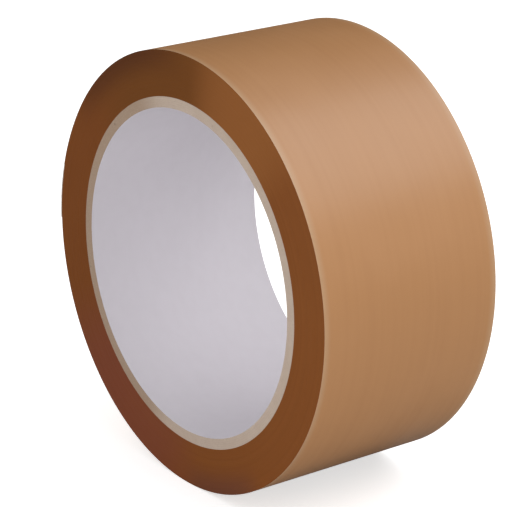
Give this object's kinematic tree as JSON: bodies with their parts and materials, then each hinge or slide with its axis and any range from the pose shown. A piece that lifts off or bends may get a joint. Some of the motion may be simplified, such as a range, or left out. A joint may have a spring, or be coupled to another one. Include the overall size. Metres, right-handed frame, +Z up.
{
  "type": "packaging tape roll",
  "caption": "Roll of brown plastic packaging tape on a spiral-wound paperboard core, with a lifting free end and a finger tab under it.",
  "frame": {"origin": "centre of the core's bore, at the middle of the roll's width", "axes": "+Y along the roll's axis, +Z up with the roll standing on its rim, +X along the ground that the roll would roll on"},
  "size_m": [0.1025, 0.048, 0.1023],
  "materials": {
    "liner_paper": "smooth pale grey facing paper",
    "core_board": "cut edge of grey-brown chipboard",
    "tape_edge": "tightly wound tape seen edge on, dark brown and satin",
    "tape_film": "tan polypropylene film with a soft gloss",
    "tab_paper": "smooth off-white paper"
  },
  "bodies": {
    "roll": {"core_inner_liner": "liner_paper", "core_ply_1": "core_board", "core_ply_2": "core_board", "core_ply_3": "core_board", "core_ply_4": "core_board", "core_outer_liner": "core_board", "tape_winding": "tape_edge", "tape_outer_turn": "tape_film"},
    "tail": {"tape_tail": "tape_film", "finger_tab": "tab_paper"}
  },
  "joints": [
    {"name": "tail_lift", "type": "hinge", "parent": "roll", "child": "tail", "pos_m": [-0.04438, 0, 0.02562], "axis": [0, 1, 0], "range_deg": [0, 150]}
  ]
}
